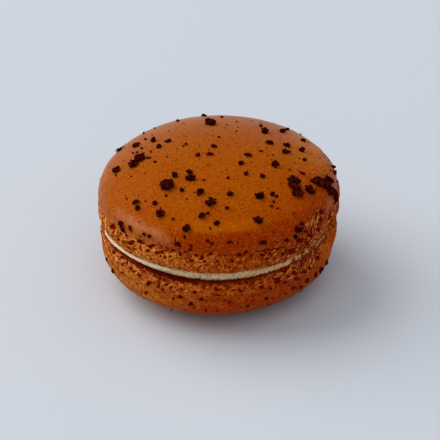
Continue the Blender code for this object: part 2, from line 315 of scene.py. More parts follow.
def hollows(points):
    # 1 inside the listed ovals, on the side that the picture shows; noise makes their edges uneven
    column, row = pixelOf(points)
    uneven = hollowEdge["middle"] + clouds(points, 0, hollowEdge["uneven"])
    total = np.zeros(points.shape[:-1])
    for middle, level, length, breadth, turn in pictureRows(hollowList):
        turned = (column - middle + 1j * (row - level)) * np.exp(-1j * math.radians(turn))
        away = np.hypot(turned.real / length, turned.imag / breadth) / (view["scale"] / 2) * uneven
        total = np.maximum(total, smooth(hollowEdge["outer"], hollowEdge["inner"], away))
    return total * (points[..., 1] < 0)


# The two shells; noise is a height and size, or a list of (height, size, seed to add)

crustRelief = {
    "columns": 1000, "crownRows": 42, "crownPacking": (0.2, 0.8, 5), "lipRows": 4, "footRows": 48,
    "faceShares": [0.97, 0.6, 0.2, 0],
    "skin": [(0.09, 9, 33), (0.02, 2.2, 34)],
    "lumps": [(0.2, 2.6, 31), (0.05, 0.3, 32)],
    "lipRagged": [(0.3, 2.8, 0), (0.15, 2.8 / 3, 5)],
    "edgeRagged": [(0.28, 1.2, 50), (0.14, 0.4, 51)],
    "ragged": [(1, 3.2, 1), (0.6, 1.2, 2)],
    "torn": [(1, 1.1, 6), (0.7, 0.5, 7)],
    "blotches": [(1, 0.9, 60), (0.6, 0.45, 61)],
    "bubbles": (0.3, 1.3), "pores": (0.2, 0.78), "ridges": (0.12, 0.85), "fibres": (0.2, 0.6),
    "fibreRise": 0.95, "teeth": (0.4, 0.55), "hollows": 0.32, "lipRound": 0.32, "lipDepth": 0.2,
    "lipProud": 0.05, "ledge": 0.42, "ledgeBearing": 4.2, "ledgeSpread": 0.15, "flatEdge": (0.02, 0.3),
}


def leftEdge(bearing):
    # 1 where the skin's lip stands clear of the foot, on the left, down to 0.15 at the front and back
    return 0.15 + 0.85 * facing(bearing, pi) ** 2


def faceHeight(shell, bearing):
    # the feet close in on the cream by different amounts at the left, the front and the right
    left, front, right, power = shell["closing"]
    west, south = facing(bearing, pi), facing(bearing, -pi / 2)
    east = facing(bearing, footShape["rightBearing"])
    return shell["face"] - left * west**power - front * south**2 - right * east**2


def raggedLip(shell, bearing):
    # the lip's level with noise read off a circle, so that it closes
    circle = ringPoints(bearing, shell["radius"] + 0 * bearing, 0)
    return lipHeight(shell, bearing) + clouds(circle, shell["seed"], crustRelief["lipRagged"])


def crownReach(shell):
    # shares of the radius from the pole to the lip, in steps along the superellipse, finer at the lip
    turn = np.linspace(pi / 2, 0.015, 4000)
    power = 2 / shell["fullness"]
    across, up = shell["radius"] * np.cos(turn) ** power, shell["rise"] * np.sin(turn) ** power
    even, more, steep = crustRelief["crownPacking"]
    steps = np.hypot(np.diff(across), np.diff(up)) * (even + more * (across[1:] / shell["radius"]) ** steep)
    travelled = np.concatenate([[0], np.cumsum(steps)])
    turn = np.interp(np.linspace(0, travelled[-1], crustRelief["crownRows"]), travelled, turn)
    reach = np.cos(turn)[:, None] ** power
    reach[0] = 0
    return reach


def crustRows(shell):
    # radius and height of the section at each bearing, crown first, then t, which runs down the foot
    # from 1 at the lip to 0 at the cream, and the lip's level
    relief = crustRelief
    bearing = np.arange(relief["columns"]) * tau / relief["columns"]
    lip, edge = raggedLip(shell, bearing), leftEdge(bearing)
    reach = crownReach(shell)
    crown = crownHeight(shell, bearing, reach) + (lip - lipHeight(shell, bearing)) * reach**24
    # the lip turns under in a quarter round
    turn = np.linspace(0, 1, relief["lipRows"] + 1)[1:, None] * pi / 2
    lipRadius = shell["radius"] - relief["lipRound"] * edge * (1 - np.cos(turn))
    lipLevel = lip - relief["lipDepth"] * np.sin(turn) + relief["lipProud"]
    # the foot, from the waist under the lip to its edge at the cream
    t = np.linspace(1, 0, relief["footRows"])[:, None]
    inset = shell["edgeInset"] * (1 - t) + footShape["waistInset"] * t * edge
    bulge = footShape["bulge"] * np.sin(pi * np.clip(t, 0, 1)) ** footShape["bulgeFullness"]
    slim = shell["slimLeft"] * facing(bearing, pi) ** 6
    footRadius = shell["radius"] - inset + bulge - slim * np.sin(pi / 2 * (1 - t))
    face = faceHeight(shell, bearing)
    footLevel = face * (1 - t) + (lip - footShape["lipDrop"]) * t
    # the face that lies on the cream
    shares = np.array(relief["faceShares"])[:, None]
    faceRadius = (shell["radius"] - shell["edgeInset"]) * shares + 0 * lip
    radius = np.vstack([reach * shell["radius"] + 0 * lip, lipRadius, footRadius, faceRadius])
    height = np.vstack([crown, lipLevel, footLevel, face + 0 * faceRadius])
    t = np.concatenate([np.ones(relief["crownRows"] + len(turn)), t[:, 0], np.zeros(len(shares))])[:, None]
    return np.broadcast_to(bearing, radius.shape), radius, height, t, lip


def roughBand(shell, grid, bearing, t, overLip):
    # rough: 1 on the foot, giving way to skin over a ragged band that is widest on the right;
    # near: 1 at the lip, fading up the crown; torn: the noise that frays both
    least, right, sides = shell["fringe"]
    fringe = least + right * facing(bearing, -0.1) ** 1.5 + sides * np.abs(np.cos(bearing))
    ragged, torn = [clouds(grid, shell["seed"], crustRelief[key]) for key in ("ragged", "torn")]
    uneven = (1.1 * ragged + 0.6 * torn) * (1 - 0.6 * leftEdge(bearing))
    rough = 1 - smooth(-0.6, 1, overLip / fringe + uneven)
    # the lower foot fades into skin on its way down
    rough *= 1 - shell["fading"] * smooth(0.3, 0.95, t + 0.25 * ragged)
    reach, more = shell["nearFoot"]
    near = smooth(reach + more * facing(bearing, -0.1) ** 2, 0, overLip + 0.8 * ragged)
    return rough, near, torn


def footCrags(shell, grid, bearing, radius, height, rough):
    # the foot's relief, and the masks that colour it: burst bubbles with thin walls, round pores, sharp
    # ridges, and fibres drawn out slantwise, which are noise that stays the same along a rising helix
    relief, seed = crustRelief, shell["seed"]
    warp = np.stack([cloud(grid, 0.9, seed + 3 + k) for k in range(3)], axis=-1)
    warped = grid + 0.35 * warp
    first, second, luck = foam(warped, relief["bubbles"][1], seed + 10)
    bubble = smooth(0.04, 0.4, second - first) * smooth(0.45, 0.8, luck)
    wall = (1 - smooth(0, 0.2, second - first)) * smooth(0.3, 0.7, luck)
    first, _, luck = foam(grid + 0.1 * warp, relief["pores"][1], seed + 20)
    pore = smooth(1, 0.45, first / (0.2 + 0.16 * luck)) * (luck > 0.25)
    ridge = 1 - 2 * np.abs(cloud(warped, relief["ridges"][1], seed + 30))
    swirl = 0.9 * cloud(grid, 2.4, seed + 8)
    sheared = bearing - (height * shell["side"] + swirl) / (shell["radius"] * relief["fibreRise"])
    helix = ringPoints(sheared, radius, 0.12 * height) + 0.12 * warp
    drawn = 0.3 + 0.7 * smooth(0.05, 0.7, rightHand(bearing))
    fibre = smooth(0.3, 1, 1 - np.abs(cloud(helix, relief["fibres"][1], seed + 40)) * 2.2) * drawn
    blotch = clouds(grid, seed, relief["blotches"])
    crags = clouds(grid, seed, relief["lumps"]) + relief["fibres"][0] * (fibre - 0.4)
    crags += relief["ridges"][0] * ridge - relief["bubbles"][0] * bubble - relief["pores"][0] * pore
    return crags, {
        "pore": np.clip(bubble * 0.7 + pore, 0, 1) * np.sqrt(rough),
        "wall": np.clip(wall * 0.5 + smooth(0.5, 0.95, ridge) * 0.5, 0, 1) * rough,
        "drawn": drawn * rough,
        "helix": helix,
        "blotch": smooth(0.05, 0.6, blotch) * rough * (0.6 + 0.15 * rightHand(bearing)),
    }


def underCream(bearing, t, torn):
    # on the lower foot: a hollow under the front left of the cream, and a band that runs on beside it;
    # the colour darkens both as painted shade
    relief = crustRelief
    away = (bearing - relief["ledgeBearing"] + pi) % tau - pi
    ledge = np.exp(-((away / relief["ledgeSpread"]) ** 2)) * smooth(0.4, 0.18, t + 0.16 * torn)
    west = facing(bearing, pi) ** 6
    frontLeft = smooth(0.1, 0.9, facing(bearing, 0.8 + pi))
    shadeBand = smooth(0.14 + 0.16 * west, 0.02 + 0.12 * west, t + 0.09 * torn) * (0.75 + 0.2 * frontLeft)
    return ledge, shadeBand


def footEdge(shell, grid, bearing, t):
    # the foot's edge hangs unevenly over the cream, with small teeth, most of all on the right
    seed, right = shell["seed"], rightHand(bearing)
    hang = clouds(grid, seed, crustRelief["edgeRagged"]) * (1 + 1.4 * right) * (1 - t) ** 2
    amount, size = crustRelief["teeth"]
    teeth = smooth(0.05, 0.55, cloud(grid * [1, 1, 0.3], size, seed + 52))
    return hang - amount * teeth * (0.3 + right) * (1 - t) ** 5


def makeShell(name, shell):
    # the section's rows moved out by the foot's relief or the skin's, as rough says: straight out on the
    # foot, and along the normals above it
    relief = crustRelief
    bearing, radius, height, t, lip = crustRows(shell)
    grid = onShell(shell, bearing, radius, height)
    shown = np.ones((len(grid), 1))
    shown[-len(relief["faceShares"]):] = 0
    lower = int(shell["side"] < 0)
    overLip = height - lip
    rough, near, torn = roughBand(shell, grid, bearing, t, overLip)
    crags, masks = footCrags(shell, grid, bearing, radius, height, rough)
    ledge, shadeBand = [part * lower * shown for part in underCream(bearing, t, torn)]
    hollow = hollows(grid) * shown
    skin = clouds(grid, shell["seed"], relief["skin"])
    # the relief eases off at the cream, up on the skin and round the flat spot
    crags *= (0.45 + 0.55 * smooth(0, 0.25, t)) * (1 - 0.55 * smooth(-0.3, 1.2, overLip))
    shift = rough * crags + (1 - rough) * skin - relief["ledge"] * ledge - relief["hollows"] * hollow
    inner, outer = [seam["height"] - edge for edge in relief["flatEdge"]]
    shift = shift * shown * (smooth(inner, outer, height) if lower else 1)
    outward = ringPoints(bearing, np.ones_like(radius), 0)
    normal = np.where((overLip < 0.1)[..., None], outward, surfaceNormals(grid))
    normal[0] = (0, 0, shell["side"])
    shift[0] = shift[0].mean()
    grid += normal * shift[..., None]
    grid[..., 2] += shell["side"] * footEdge(shell, grid, bearing, t) * shown
    masks |= {
        "rough": rough * shown,
        "near": near * shown,
        "pore": masks["pore"] * shown,
        "hollow": hollow,
        # the face on the cream, and painted shade in the hollow and band under the cream
        "inner": np.clip(1 - shown + 0.8 * ledge + shadeBand, 0, 1),
        # painted shade: a dark line just under the skin's lip, most at the left
        "lipShade": smooth(0.3, 0, np.abs(overLip + 0.2)) * leftEdge(bearing) * shown * (1 - lower),
    }
    return closedSurface(name, grid, masks, flip=bool(lower))


# The cream

creamLayer = {
    "radius": 21.1, "bulge": 0.6, "roundness": 0.9, "rightReach": 0.15, "leftReach": 0.15,
    "leftLip": 0.45, "leftHollow": 0.5, "columns": 900, "rimRows": 26,
    "rimWaves": [(1, 0.12, 1.57), (2, 0.33, 1.57), (3, 0.12, -1.57), (11, 0.06, 0)],
    "innerShares": [0, 0.35, 0.75], "overlap": 0.12, "ripple": (0.1, 2.4), "pits": (0.14, 0.6),
    "grain": (0.09, 0.3),
}


def makeCream(name):
    # a disc whose rim bulges as sqrt(1 - roundness * level^2), waved, rippled, grained and pitted
    cream = creamLayer
    bearing = (np.arange(cream["columns"]) * tau / cream["columns"])[None]
    level = np.linspace(-1, 1, cream["rimRows"])[:, None]
    low, high = -bottomShell["face"] - cream["overlap"], topShell["face"] + cream["overlap"]
    height = (low + high) / 2 + level * (high - low) / 2 + 0 * bearing
    bulge = cream["bulge"] * (np.sqrt(1 - cream["roundness"] * level**2) - 1)
    radius = cream["radius"] + bulge + waves(bearing, cream["rimWaves"])
    radius += cream["rightReach"] * facing(bearing, -0.25) ** 4
    radius += cream["leftReach"] * facing(bearing, 0.9 + pi) ** 3
    # seen runs from 0 at the lower crust to 1 at the upper; at the left the cream has a lip over a dark gap
    top, bottom = faceHeight(topShell, bearing), -faceHeight(bottomShell, bearing)
    seen = np.clip((height - bottom) / (top - bottom), -0.5, 1.5)
    west = facing(bearing, 0.2 + pi) ** 2 * smooth(3.15, 3.5, bearing)
    gap = west * smooth(0.2, -0.08, seen)
    lip = west * np.clip(1 - ((seen - 0.6) / 0.45) ** 2, 0, 1)
    radius += cream["leftLip"] * lip - cream["leftHollow"] * gap
    points = ringPoints(bearing, radius, seam["height"] + height)
    near, _, luck = foam(points, cream["pits"][1], 91)
    pit = smooth(0.5, 0.1, near) * (luck > 0.55)
    radius += cream["ripple"][0] * cloud(points * [1, 1, 1.6], cream["ripple"][1], 92)
    radius += cream["grain"][0] * cloud(points * [0.6, 0.6, 1], cream["grain"][1], 93)
    radius -= cream["pits"][0] * pit
    # flat rows inwards from the rim, under it and over it
    shares = np.array(cream["innerShares"])[:, None]
    under, over = shares * radius[:1], shares[::-1] * radius[-1:]
    radius = np.vstack([under, radius, over])
    height = np.vstack([low + 0 * under, height, high + 0 * over])
    masks = {key: np.vstack([0 * under, values, ends + 0 * over])
             for key, values, ends in (("pit", pit, 0), ("gap", gap, 0), ("lift", seen, 1))}
    return closedSurface(name, ringPoints(bearing, radius, seam["height"] + height), masks, flip=False)


# Crumbs: column and row of the picture, length, breadth, and for some the turn in degrees

crumbList = [
    (167.3, 184.5, 2.35, 2.5), (210, 202, 2.4, 1.6, 25), (294.3, 182.7, 2.5, 2.4),
    (298, 192.5, 2.4, 2.1, -60), (320.5, 182.5, 3.1, 1.9, -12), (310, 190, 2.2, 1.7, -20),
    (330.5, 190, 3, 1.7, -48), (336.5, 198.5, 1.9, 1.2, -68), (314, 181, 1.5, 1.1),
    (329.5, 180, 2.4, 1.3, 8), (325, 184, 2.4, 1.7, -30), (335, 193.5, 1.8, 1.3, -60),
    (139.5, 157.5, 2.2, 1.9, 45), (133.5, 163.5, 1.9, 1.8), (263, 243, 2.3, 0.8, -3), (210, 122, 2, 2),
    (190.3, 178.2, 2.05, 1.7, 20), (189.5, 171.5, 1.4, 1.2), (160, 213, 1.8, 1.6, 70), (260, 196, 1.8, 1.6),
    (287, 145, 1.8, 1.1, 10), (285, 151.5, 1.6, 1.1), (275, 164, 1.6, 1.5), (265, 131, 1.7, 1.4, 80),
    (200, 192, 1.7, 1.4, 30), (136, 202, 1.8, 1, 5), (137, 208, 1.3, 1.1), (259, 220, 1.7, 1.5, 40),
    (254, 218, 0.7, 0.6), (186, 229, 1.7, 1.5, 60), (185, 237, 0.9, 0.6, 90), (120, 149, 2.6, 0.5, 33),
    (136, 145, 1.7, 1.1, 20), (116, 169.5, 1.8, 1.4, 30), (248, 155, 1.8, 0.8),
    (120.5, 224.5, 1.5, 1.1, -60), (122, 232, 1.2, 0.8, -40), (130, 229, 1.7, 0.6, -65),
    (154, 140, 1.4, 1.3), (168, 141, 1.7, 0.8, 10), (158.7, 146.7, 1.45, 1, 15), (269.5, 142.5, 2, 1, -12),
    (302, 150, 1.4, 1.3), (303, 140, 1.2, 0.9), (263, 176, 1.4, 1), (175, 175, 1.5, 1.2, 80),
    (202, 216, 1.6, 1.2, 20), (208, 213, 1.2, 0.7, 25), (214, 146, 1.5, 0.8), (198, 155, 1.3, 0.8, -10),
    (210, 154, 1.7, 0.8, 5), (283, 131, 1.5, 1.1, 20), (287, 129, 0.9, 0.8), (261, 126, 0.9, 0.6),
    (230, 194, 1.3, 1.3), (273, 194, 1.3, 1.1), (217, 223, 1.5, 1, 30), (230, 242, 1.4, 0.7, 5),
    (204, 115.5, 1.3, 0.9, 10), (222, 117, 0.8, 0.5), (241, 163, 1.3, 1.1), (246, 174, 1, 0.9),
    (228, 178, 0.7, 0.6), (182, 190, 1.1, 0.9), (155, 203, 1.2, 1, 35), (148, 158, 0.7, 0.6),
    (155, 162, 0.9, 0.7), (116, 148, 0.9, 0.5, 30), (186, 144, 0.7, 0.5), (219, 137, 0.6, 0.5),
    (178, 121, 0.7, 0.5, 10), (144, 133, 0.6, 0.5), (305, 160, 0.9, 0.8), (333.5, 166.5, 1.1, 1),
    (335, 172.5, 1.4, 0.8, -70), (302, 173, 1.5, 0.5, -20), (227, 208, 1.1, 0.7), (173, 219, 0.8, 0.7),
    (166, 196, 0.7, 0.6), (187, 199, 0.5, 0.4), (259, 196, 0.8, 0.7), (149, 236, 1, 0.9),
    (178, 244, 1.2, 0.8), (144, 234, 0.7, 0.6), (208, 241, 0.7, 0.7), (277, 197, 0.8, 0.7),
    (272, 206, 0.9, 0.6, 20), (278, 208, 0.7, 0.5), (300, 229.5, 1.5, 1), (298, 242, 1.3, 0.9),
    (292, 252, 1.1, 0.8, 20), (321, 212, 0.9, 0.7, 80), (296, 230, 0.9, 0.8), (116, 175, 0.6, 0.5),
    (142, 148, 0.6, 0.5), (145, 139, 0.7, 0.6), (204, 180, 0.6, 0.5), (261, 151, 1.1, 0.5),
    (274, 202, 0.7, 0.6), (290, 152, 0.6, 0.5), (303, 224, 0.8, 0.6), (151, 152, 0.6, 0.5),
    (150, 158, 0.5, 0.5), (337, 182, 0.6, 0.5), (178, 120.5, 1, 0.6, 10), (137, 152, 0.7, 0.5),
    (133, 153, 0.6, 0.5),
]
crumbListBelow = [
    (326, 262.5, 1.3, 0.7, 60), (321, 269.5, 1.5, 0.8, 50), (316, 275, 1.2, 0.6, 45),
    (308, 281.5, 1.3, 0.7, 35), (301, 287, 1, 0.5, 30), (106.5, 259.5, 0.9, 0.6, -80),
    (113.2, 270.5, 1.3, 0.5, -55), (248, 306.5, 0.8, 0.6), (266.5, 298.5, 0.8, 0.6), (191, 304.5, 0.7, 0.6),
    (194, 308, 0.6, 0.5), (206, 310.5, 0.6, 0.5), (217, 311, 0.5, 0.4), (273, 299, 0.5, 0.4),
    (286, 294, 0.5, 0.4),
]
crumbShape = {
    "ballSteps": 2, "thickness": 1.1, "sunk": 0.34,
    "core": (0.95, 0.13, 0.6),  # size of the middle grain: most, less for each millimetre, least
    "grains": {2.1: 34, 1.5: 20, 1: 10, 0.7: 5, 0.45: 2, 0: 1},  # by the crumb's least length
    "grainSizes": (0.24, 0.5), "planes": 8, "cuts": (0.5, 0.95), "farthest": 1.15,
    "roughness": (0.25, 0.45), "grow": 1.04, "seed": 300,
}
# Crumbs where the picture doesn't reach, on the crown's far side and the lower crust, and specks all over:
# for each shell how many, between which bearings and reaches, and the power that spreads them
unseenCrumbs = {
    "top": (34, (0.3, pi - 0.3), (0.95, 0.995), 1),
    "bottom": (40, (0, tau), (0.35, 0.97), 0.5),
    "lengths": (0.6, 1.6), "fewLong": 1.8, "slimmest": 0.55, "seed": 5, "shapeSeed": 400,
    "facing": -0.45,
}
speckSpread = {
    "top": (250, (0, tau), (0, 0.985), 0.5),
    "bottom": (200, (0, tau), (0.2, 0.985), 0.5),
    "lengths": (0.14, 0.5), "fewLong": 2.5, "slimmest": 0.5, "seed": 6, "shapeSeed": 500, "facing": 2,
}


def crownFrames(shell, bearing, reach):
    # places on the crown, each with its outward normal and two directions across it
    def at(b, s):
        return onShell(shell, b, s * shell["radius"], crownHeight(shell, b, s))

    step = 1e-3
    across = at(bearing + step, reach) - at(bearing - step, reach)
    along = at(bearing, np.minimum(reach + step, 0.9995)) - at(bearing, reach - step)
    normal, across = unit(np.cross(along, across) * shell["side"]), unit(across)
    return at(bearing, reach), across, np.cross(normal, across), normal


def crumbSizes(lengths, breadths):
    # half the size along, across and up from the crust, and how far the middle lies above the crust
    size = np.stack([lengths, breadths, breadths], axis=-1) / 2 * crumbShape["grow"]
    mean = 0.2 * size[:, 0] + 0.8 * size[:, 1]
    size[:, 2] = crumbShape["thickness"] * mean
    return size, size[:, 2] - crumbShape["sunk"] * 2 * mean


def seenOnCrown(shell, wanted, lifts):
    # bearing and reach of the crown's point where a thing that far above the crust covers each wanted pixel
    bearing, reach = np.meshgrid(np.linspace(0, tau, 1200, endpoint=False), np.linspace(0.03, 0.999, 360))
    place, _, _, normal = crownFrames(shell, bearing, reach)
    column, row = pixelOf(place)
    raised = pixelOf(place + normal)
    hidden = np.where(normal @ towardsCamera() < 0.02, 1e6, 0)
    found = []
    for (c, r), lift in zip(wanted, lifts):
        aside, below = column + lift * (raised[0] - column) - c, row + lift * (raised[1] - row) - r
        found.append(np.argmin(aside**2 + below**2 + hidden))
    return bearing.ravel()[found], reach.ravel()[found]


def unitBall():
    # points and triangles of a ball of radius 1
    work = bmesh.new()
    bmesh.ops.create_icosphere(work, subdivisions=crumbShape["ballSteps"], radius=1)
    points = np.array([v.co[:] for v in work.verts])
    faces = np.array([[v.index for v in f.verts] for f in work.faces])
    work.free()
    return points, faces


def cutGrains(rng, total, ball, seed):
    # each grain is the ball cut by random planes: its reach in a direction is the least of depth / cosine
    # over the planes, roughened by noise
    planes = unit(rng.normal(size=(total, crumbShape["planes"], 3)))
    depth = rng.uniform(*crumbShape["cuts"], (total, crumbShape["planes"], 1))
    cosine = np.maximum(planes @ ball.T, 1e-3)
    reach = np.minimum(np.min(depth / cosine, axis=1), crumbShape["farthest"])
    offset = rng.uniform(-50, 50, (total, 1, 3))
    amount, size = crumbShape["roughness"]
    return ball * (reach * (1 + amount * cloud(ball + offset, size, seed + 1)))[..., None]


def crumbMeshes(places, axes, lengths, breadths, turns, seed):
    # up to thirty-four grains a crumb, all inside the crumb's own ellipse: the first is its core, and the
    # others crowd round it
    rng = np.random.default_rng(seed)
    grains = crumbShape["grains"]
    counts = np.select([lengths >= least for least in grains], list(grains.values()))
    owner = np.repeat(np.arange(len(lengths)), counts)
    total = len(owner)
    alone = (counts == 1)[owner]
    core = np.concatenate([[True], owner[1:] != owner[:-1]])
    ball, faces = unitBall()
    shape = cutGrains(rng, total, ball, seed)
    most, slope, least = crumbShape["core"]
    coreSize = np.clip(most - slope * lengths, least, 1)[owner]
    grain = np.where(core, coreSize, rng.uniform(*crumbShape["grainSizes"], total))
    grain[alone] = 1
    size, lift = crumbSizes(lengths, breadths)
    size, lift = size[owner], lift[owner] - np.where(alone, 0.1 * lengths[owner], 0)
    own = np.where(core[:, None], size, size[:, 1:2] * [1, 1, 0.9]) * grain[:, None]
    angle = rng.uniform(0, tau, total)
    loose = np.clip(0.85 + 0.25 * lengths, 1, 1.3)[owner]
    spread = np.sqrt(rng.uniform(0, 1, total)) * (1 - grain) * loose
    centre = ringPoints(angle, spread, rng.uniform(-0.3, 0.4, total))
    shape = shape * own[:, None, :] + np.where(core[:, None], 0, centre * size)[:, None, :]
    # turned, lifted and laid on the crust
    turned = (shape[..., 0] + 1j * shape[..., 1]) * np.exp(1j * turns[owner])[:, None]
    parts = zip((turned.real, turned.imag, shape[..., 2] + lift[:, None]), axes)
    points = places[owner][:, None] + sum(part[..., None] * axis[owner][:, None] for part, axis in parts)
    index = faces + (np.arange(total) * len(ball))[:, None, None]
    # slim and small crumbs are redder, and so are the outer grains
    slim = np.clip(1.6 - breadths / lengths * 2, 0, 1) * np.clip(2.2 - lengths, 0, 1)
    small = np.clip((1.2 - lengths) / 0.8, 0, 1)
    red = np.clip(slim + small * rng.uniform(0.2, 1.3, len(lengths)), 0, 1)[owner]
    red = np.clip(red + np.where(core, -0.2, spread * rng.uniform(-0.3, 1, total)), 0, 1)
    return points.reshape(-1, 3), index.reshape(-1, 3), np.repeat(red, len(ball))


def joinCrumbs(name, parts):
    # the parts' arrays end to end, with each part's faces counted on from the points before it
    starts = np.cumsum([0] + [len(points) for points, _, _ in parts])
    points = np.concatenate([points for points, _, _ in parts])
    faces = np.concatenate([index + start for (_, index, _), start in zip(parts, starts)])
    piece = makeMesh(name, points, faces, {"red": np.concatenate([red for _, _, red in parts])})
    print(name, "made,", len(faces), "faces")
    return piece


def scattered(shell, spread):
    # crumbs at random places that face the camera by less than the given cosine, with few long ones
    rng = np.random.default_rng(spread["seed"] + shell["seed"])
    count, bearings, reaches, power = spread[shell["name"]]
    bearing = rng.uniform(*bearings, count)
    reach = np.maximum(rng.uniform(*reaches, count) ** power, 0.03)
    place, *axes = crownFrames(shell, bearing, reach)
    kept = axes[2] @ towardsCamera() < spread["facing"]
    place, axes, count = place[kept], [axis[kept] for axis in axes], int(kept.sum())
    low, high = spread["lengths"]
    lengths = low + (high - low) * rng.uniform(0, 1, count) ** spread["fewLong"]
    breadths = lengths * rng.uniform(spread["slimmest"], 1, count)
    turns = rng.uniform(0, tau, count)
    return crumbMeshes(place, axes, lengths, breadths, turns, spread["shapeSeed"] + shell["seed"])


def listedCrumbs(shell, listed):
    # the crumbs of a list, each on the crown's point that its pixel shows; the picture's left-to-right
    # direction laid on the crust and the crumb's own turn make up its turn
    wanted, lengths, breadths, turns = np.split(pictureRows(listed), (2, 3, 4), axis=1)
    lengths, breadths = lengths[:, 0], breadths[:, 0]
    place, *axes = crownFrames(shell, *seenOnCrown(shell, wanted, crumbSizes(lengths, breadths)[1]))
    turns = np.arctan2(axes[1][:, 0], axes[0][:, 0]) + np.radians(turns[:, 0])
    return crumbMeshes(place, axes, lengths, breadths, turns, crumbShape["seed"] + shell["seed"])


def makeCrumbs(name):
    parts = []
    for shell, listed in ((topShell, crumbList), (bottomShell, crumbListBelow)):
        parts += [listedCrumbs(shell, listed), scattered(shell, unseenCrumbs)]
    piece = joinCrumbs(name, parts)
    piece.data.shade_flat()
    return piece


def makeSpecks(name):
    return joinCrumbs(name, [scattered(shell, speckSpread) for shell in (topShell, bottomShell)])


# Materials: a socket with sums written as Python

def fillSockets(tree, node, inputs):
    # a wire is linked to its socket, and any other value is set on it
    for key, value in inputs.items():
        if isinstance(value, Wire):
            tree.links.new(value.socket, node.inputs[key])
        else:
            node.inputs[key].default_value = value


class Wire:
    def __init__(self, tree, socket=None):
        self.tree = tree
        self.socket = socket

    def node(self, kind, settings, inputs, output=0):
        # any node: its type, its settings, then the values or wires of its sockets
        made = self.tree.nodes.new("ShaderNode" + kind)
        for key, value in settings.items():
            setattr(made, key, value)
        fillSockets(self.tree, made, inputs)
        return Wire(self.tree, made.outputs[output])

    def maths(self, operation, *values, clamp=False):
        return self.node("Math", {"operation": operation, "use_clamp": clamp}, dict(enumerate(values)))

    __add__ = __radd__ = lambda self, other: self.maths("ADD", self, other)
    __mul__ = __rmul__ = lambda self, other: self.maths("MULTIPLY", self, other)
    __sub__ = lambda self, other: self.maths("SUBTRACT", self, other)
    __rsub__ = lambda self, other: self.maths("SUBTRACT", other, self)
    __truediv__ = lambda self, other: self.maths("DIVIDE", self, other)
    __pow__ = lambda self, other: self.maths("POWER", self, other)

    def clamped(self):
        return self.maths("ADD", self, 0, clamp=True)

    def between(self, low, high):
        # 0 at low, 1 at high, eased; low may be the larger
        settings = {"interpolation_type": "SMOOTHSTEP"}
        return self.node("MapRange", settings, {"Value": self, "From Min": low, "From Max": high})

    def mixed(self, colour, other):
        # self as the factor between two colours
        inputs = {0: self.clamped(), 6: colour, 7: other}
        return self.node("Mix", {"data_type": "RGBA"}, inputs, output=2)


def colour(red, green, blue):
    # an sRGB colour, 0 to 255, as the linear values that shaders take
    values = [c / 255 for c in (red, green, blue)]
    return (*[c / 12.92 if c < 0.04045 else ((c + 0.055) / 1.055) ** 2.4 for c in values], 1)


def tonesOf(finish):
    # the colours among a finish's values
    colours = {key: colour(*value) for key, value in finish.items() if isinstance(value, tuple)}
    return SimpleNamespace(**colours)


def startMaterial(name):
    # a material, and the object's own coordinates in millimetres, from which its sums start
    material = bpy.data.materials.new(name)
    material.use_nodes = True
    metres = Wire(material.node_tree).node("TexCoord", {}, {}, output="Object")
    return material, metres.node("VectorMath", {"operation": "SCALE"}, {0: metres, "Scale": 1 / mm})


def finishMaterial(material, finish, base, roughness, height, more=None):
    # every finish sets its colour, roughness, bump and reflections, and some set more sockets
    tree = material.node_tree
    bump = {"Strength": finish["bump"], "Distance": finish["bumpDepth"] * mm, "Height": height}
    fillSockets(tree, tree.nodes["Principled BSDF"], {
        "Base Color": base,
        "Roughness": roughness + finish["roughness"],
        "Normal": height.node("Bump", {}, bump),
        "Specular IOR Level": finish["specular"],
        **(more or {}),
    })
    return material


def layered(base, *layers):
    # each layer's factor lays its colour over what is below it
    for factor, tone in layers:
        base = factor.mixed(base, tone)
    return base


def partsOf(place):
    return [place.node("SeparateXYZ", {}, {0: place}, output=axis) for axis in ("X", "Y", "Z")]


def noiseOf(place, size, detail=3, roughness=0.55, output="Fac"):
    # cloudy noise with features of the given size
    inputs = {"Vector": place, "Scale": 1 / size, "Detail": detail, "Roughness": roughness}
    return place.node("TexNoise", {}, inputs, output)


def cellsOf(place, size):
    # distance to the nearest of points that lie about the given size apart
    return place.node("TexVoronoi", {}, {"Vector": place, "Scale": 1 / size})


def maskOf(place, name, part="Fac"):
    return place.node("Attribute", {"attribute_name": name}, {}, output=part)


crustFinish = {
    "golden": (175, 91, 0), "brown": (174, 81, 0), "deep": (180, 58, 0), "rim": (160, 42, 0),
    "fleck": (120, 28, 0), "glint": (206, 122, 14), "tan": (230, 137, 36), "footLight": (220, 100, 0),
    "footDark": (178, 52, 0), "ridge": (255, 182, 98), "ridgeWarm": (238, 136, 8),
    "burnt": (148, 24, 0), "pore": (112, 9, 0), "hollow": (114, 13, 0), "inner": (108, 18, 3),
    "deepInside": (86, 10, 2), "tint": (255, 150, 60), "glow": (206, 116, 0), "bloom": (200, 172, 152),
    "shine": (214, 134, 76), "sheenShare": 0.3, "coat": 0.6, "coatRoughness": 0.36, "roughness": 0.5,
    "specular": 0.05, "sheen": 0.02, "sheenRoughness": 0.22, "bump": 0.6, "bumpDepth": 0.12,
    "patchSize": 7, "mottleSize": 1.3, "fineSize": 0.28, "pitSize": 0.85, "pinholeSize": 0.62,
    "prickSize": 1.15,
}


